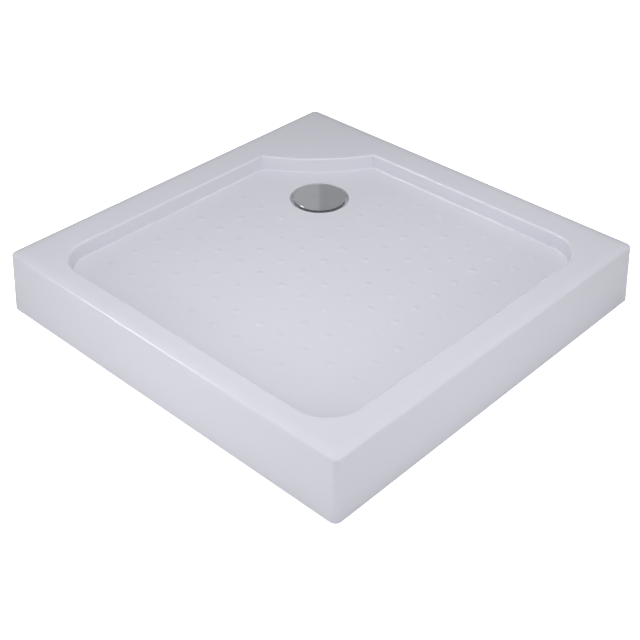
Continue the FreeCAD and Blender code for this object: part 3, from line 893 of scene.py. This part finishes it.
class TRAY_OT_screws(bpy.types.Operator):
    """Makes the pan-head screws that hold the socket plates"""
    bl_idname = "tray.screws"
    bl_label = "Plate screws"

    def execute(self, context):
        s = settings("tray_legs")
        bm = bmesh.new()
        for leg in LEG_NAMES:
            x, y, board = leg_spot(leg)
            under = board - s.plate_thick / MM
            reach = s.plate_hole / MM
            for sx in (-1, 1):
                for sy in (-1, 1):
                    self.screw(bm, s, x + sx * reach, y + sy * reach, under)
        fresh_piece("pan_head_screws", bm, "tray", "zinc_steel", ["plate_screws"])
        return {"FINISHED"}

    def screw(self, bm, s, x, y, under):
        """Pan head with a cross recess, seen from below, and its shank in the board."""
        radius, height, shank, recess = s.screw_head / MM / 2, s.screw_height / MM, 11.0, 1.1
        facets = 24
        prism(bm, 10, s.screw_shank / MM, under - 0.1, under + shank, x, y)
        head = lathe(bm, [(0.0, under, 0.0), (radius, under, 0.0),
                          (radius, under - height * 0.6, 1.0), (radius * 0.66, under - height, 0.5),
                          (0.0, under - height, 0.0)],
                     standing(x, y), facets, rounding_steps=3)
        low = min(v.co.z for v in head)
        middle = Vector((x * MM, y * MM))
        centre = [v for v in head
                  if abs(v.co.z - low) < 1e-6 and (v.co.xy - middle).length < 0.01 * MM]
        bmesh.ops.dissolve_verts(bm, verts=centre)
        cap = min((f for v in head if v.is_valid for f in v.link_faces if len(f.verts) == facets),
                  key=lambda f: f.calc_center_median().z)
        bmesh.ops.inset_individual(bm, faces=[cap], thickness=0.5 * MM, use_even_offset=True)
        for vert in cap.verts:
            arm = vert.co.xy - middle
            between_arms = math.cos(4.0 * math.atan2(arm.y, arm.x)) < 0.2
            if between_arms:
                vert.co.xy = middle + arm * 0.35
        sunk = bmesh.ops.extrude_discrete_faces(bm, faces=[cap])["faces"][0]
        bmesh.ops.translate(bm, vec=(0, 0, recess * MM), verts=list(sunk.verts))
        bmesh.ops.scale(bm, vec=(0.6, 0.6, 1.0), verts=list(sunk.verts),
                        space=Matrix.Translation((-x * MM, -y * MM, 0)))


# ---- the nodes that keep their shape ----
KEPT_NODES = {
    "chipboard": ("floor_board", "shelf_board"),
    "rubber": ("flange_gasket", "trap_gasket", "union_seal", "dip_tube_seal"),
    "trap_plastic": ("flange_ring", "trap_body", "dip_tube", "union_nut", "outlet_spigot"),
    "zinc_steel": ("clamp_screws",),
}


class TRAY_OT_finishes(bpy.types.Operator):
    """Gives the pieces that keep the frame's shape their finishes"""
    bl_idname = "tray.finishes"
    bl_label = "Finishes"

    def execute(self, context):
        for slot, nodes in KEPT_NODES.items():
            for node in nodes:
                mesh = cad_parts[node].data
                mesh.materials.clear()
                mesh.materials.append(material(slot))
        return {"FINISHED"}


# ---- floor, lights and camera ----
def camera_axes(studio):
    """Right, up and backward directions of the camera."""
    a, e, r = studio.azimuth, studio.elevation, studio.roll
    back = Vector((math.sin(a) * math.cos(e), -math.cos(a) * math.cos(e), math.sin(e)))
    right = (-back).cross(UP).normalized()
    up = right.cross(-back)
    return (right * math.cos(r) + up * math.sin(r), up * math.cos(r) - right * math.sin(r), back)


def place_camera(studio):
    right, up, back = camera_axes(studio)
    spot = back * studio.distance + right * studio.shift_right + up * studio.shift_up
    data = bpy.data.cameras.new("view")
    data.lens = studio.lens
    data.sensor_width = 36.0
    data.clip_end = 50.0
    camera = bpy.data.objects.new("view", data)
    turn = Matrix((right, up, back)).transposed().to_4x4()
    camera.matrix_world = Matrix.Translation(spot) @ turn
    bpy.context.scene.collection.objects.link(camera)
    bpy.context.scene.camera = camera


def area_light(name, place, target, size, energy, mirrored):
    data = bpy.data.lights.new(name, "AREA")
    data.shape = "RECTANGLE"
    data.size, data.size_y = size
    data.energy = energy
    lamp = bpy.data.objects.new(name, data)
    aim = (Vector(target) - Vector(place)).to_track_quat("-Z", "Y").to_matrix().to_4x4()
    lamp.matrix_world = Matrix.Translation(place) @ aim
    lamp.visible_glossy = mirrored
    lamp.visible_diffuse = not mirrored
    bpy.context.scene.collection.objects.link(lamp)


# lamp: place, aimed at, width and height in metres, power in watts, and whether it is seen in
# reflections only; the others are hidden from them
LAMPS = {
    "overhead": ((0.2, 0.1, 1.4), (0.2, 0.1, 0.0), (0.8, 0.8), 7.1, False),
    "overhead_front": ((0.0, -0.6, 1.3), (0.0, -0.5, 0.0), (0.8, 0.6), 3.9, False),
    "front": ((1.2, -1.55, 1.0), (0.0, 0.0, 0.1), (1.0, 0.6), 4.5, False),
    "left_skirt": ((-0.05, -1.3, 0.3), (-0.05, -0.45, 0.05), (0.9, 0.3), 2.6, False),
    "far_left": ((-1.29, -1.53, 0.6), (0.0, -0.45, 0.07), (0.8, 0.5), 2.2, False),
    "right_skirt": ((1.5, 0.0, 0.35), (0.45, 0.0, 0.05), (0.9, 0.3), 3.4, False),
    "far_right": ((1.64, 1.15, 0.6), (0.45, 0.0, 0.07), (0.8, 0.5), 1.2, False),
    "edge_strip": ((-1.78, -1.86, 1.55), (-0.15, -0.45, 0.13), (0.95, 0.3), 24.0, True),
}


SPLIT_BLUR = 0.004            # half the width of the change between the wall's two tones


def white_studio(studio):
    """World: white to the camera, an even grey to matt surfaces, a two-tone wall to glossy ones."""
    world = bpy.data.worlds.new("studio")
    bpy.context.scene.world = world
    world.use_nodes = True
    nodes, links = world.node_tree.nodes, world.node_tree.links
    out = nodes["World Output"]
    ambient = nodes["Background"]
    ambient.inputs["Color"].default_value = (0.96, 0.97, 1.0, 1.0)
    ambient.inputs["Strength"].default_value = studio.ambient
    seen = nodes.new("ShaderNodeBackground")
    seen.inputs["Color"].default_value = (1.0, 1.0, 1.0, 1.0)
    mirrored = nodes.new("ShaderNodeBackground")
    path = nodes.new("ShaderNodeLightPath")
    where = nodes.new("ShaderNodeTexCoord")
    right = camera_axes(studio)[0]
    across = nodes.new("ShaderNodeVectorMath")
    across.operation = "DOT_PRODUCT"
    across.inputs[1].default_value = right
    links.new(where.outputs["Generated"], across.inputs[0])
    tone = nodes.new("ShaderNodeMapRange")
    tone.inputs["From Min"].default_value = studio.split - SPLIT_BLUR
    tone.inputs["From Max"].default_value = studio.split + SPLIT_BLUR
    tone.inputs["To Min"].default_value = studio.wall_left
    tone.inputs["To Max"].default_value = studio.wall_right
    links.new(across.outputs["Value"], tone.inputs["Value"])
    links.new(tone.outputs["Result"], mirrored.inputs["Strength"])
    gloss, final = nodes.new("ShaderNodeMixShader"), nodes.new("ShaderNodeMixShader")
    links.new(path.outputs["Is Glossy Ray"], gloss.inputs[0])
    links.new(ambient.outputs[0], gloss.inputs[1])
    links.new(mirrored.outputs[0], gloss.inputs[2])
    links.new(path.outputs["Is Camera Ray"], final.inputs[0])
    links.new(gloss.outputs[0], final.inputs[1])
    links.new(seen.outputs[0], final.inputs[2])
    links.new(final.outputs[0], out.inputs["Surface"])


def white_floor():
    """Plain floor, white to the camera, that still takes a faint shadow."""
    bm = bmesh.new()
    bmesh.ops.create_grid(bm, x_segments=1, y_segments=1, size=12.0)
    mesh = bpy.data.meshes.new("floor")
    bm.to_mesh(mesh)
    bm.free()
    floor = bpy.data.objects.new("floor", mesh)
    bpy.context.scene.collection.objects.link(floor)
    paint = bpy.data.materials.new("studio_floor")
    paint.use_nodes = True
    nodes, links = paint.node_tree.nodes, paint.node_tree.links
    shader = nodes["Principled BSDF"]
    shader.inputs["Base Color"].default_value = (0.8, 0.8, 0.8, 1.0)
    shader.inputs["Roughness"].default_value = 0.9
    shader.inputs["Specular IOR Level"].default_value = 0.0
    glow = nodes.new("ShaderNodeEmission")
    glow.inputs["Strength"].default_value = 0.93
    both = nodes.new("ShaderNodeAddShader")
    pick = nodes.new("ShaderNodeMixShader")
    path = nodes.new("ShaderNodeLightPath")
    links.new(shader.outputs[0], both.inputs[0])
    links.new(glow.outputs[0], both.inputs[1])
    links.new(path.outputs["Is Camera Ray"], pick.inputs[0])
    links.new(shader.outputs[0], pick.inputs[1])
    links.new(both.outputs[0], pick.inputs[2])
    links.new(pick.outputs[0], nodes["Material Output"].inputs["Surface"])
    mesh.materials.append(paint)


class TRAY_OT_studio(bpy.types.Operator):
    """Sets up the floor, the lights and the camera"""
    bl_idname = "tray.studio"
    bl_label = "Studio"

    def execute(self, context):
        studio = settings("tray_studio")
        white_floor()
        white_studio(studio)
        for name, (place, target, size, power, mirrored) in LAMPS.items():
            area_light(name, place, target, size, power * studio.lamps, mirrored)
        place_camera(studio)
        context.scene.view_settings.view_transform = "Standard"
        return {"FINISHED"}


# ---- panel and registration ----
STEPS = (TRAY_OT_sheet, TRAY_OT_laminate, TRAY_OT_cover, TRAY_OT_rods, TRAY_OT_pads,
         TRAY_OT_sockets, TRAY_OT_screws, TRAY_OT_finishes, TRAY_OT_studio)


class TRAY_PT_panel(bpy.types.Panel):
    bl_label = "Shower tray"
    bl_idname = "TRAY_PT_panel"
    bl_space_type = "VIEW_3D"
    bl_region_type = "UI"
    bl_category = "Shower tray"

    def draw(self, context):
        for name, group in SETTINGS:
            box = self.layout.box()
            for field in group.__annotations__:
                box.prop(getattr(context.scene, name), field)
        for step in STEPS:
            self.layout.operator(step.bl_idname)


def register():
    for name, group in SETTINGS:
        bpy.utils.register_class(group)
        setattr(bpy.types.Scene, name, PointerProperty(type=group))
    for cls in (*STEPS, TRAY_PT_panel):
        bpy.utils.register_class(cls)


def unregister():
    for cls in reversed((*STEPS, TRAY_PT_panel)):
        bpy.utils.unregister_class(cls)
    for name, group in reversed(SETTINGS):
        delattr(bpy.types.Scene, name)
        bpy.utils.unregister_class(group)


def main():
    register()
    for step in STEPS:
        group, action = step.bl_idname.split(".")
        getattr(getattr(bpy.ops, group), action)()


if __name__ == "__main__":
    main()
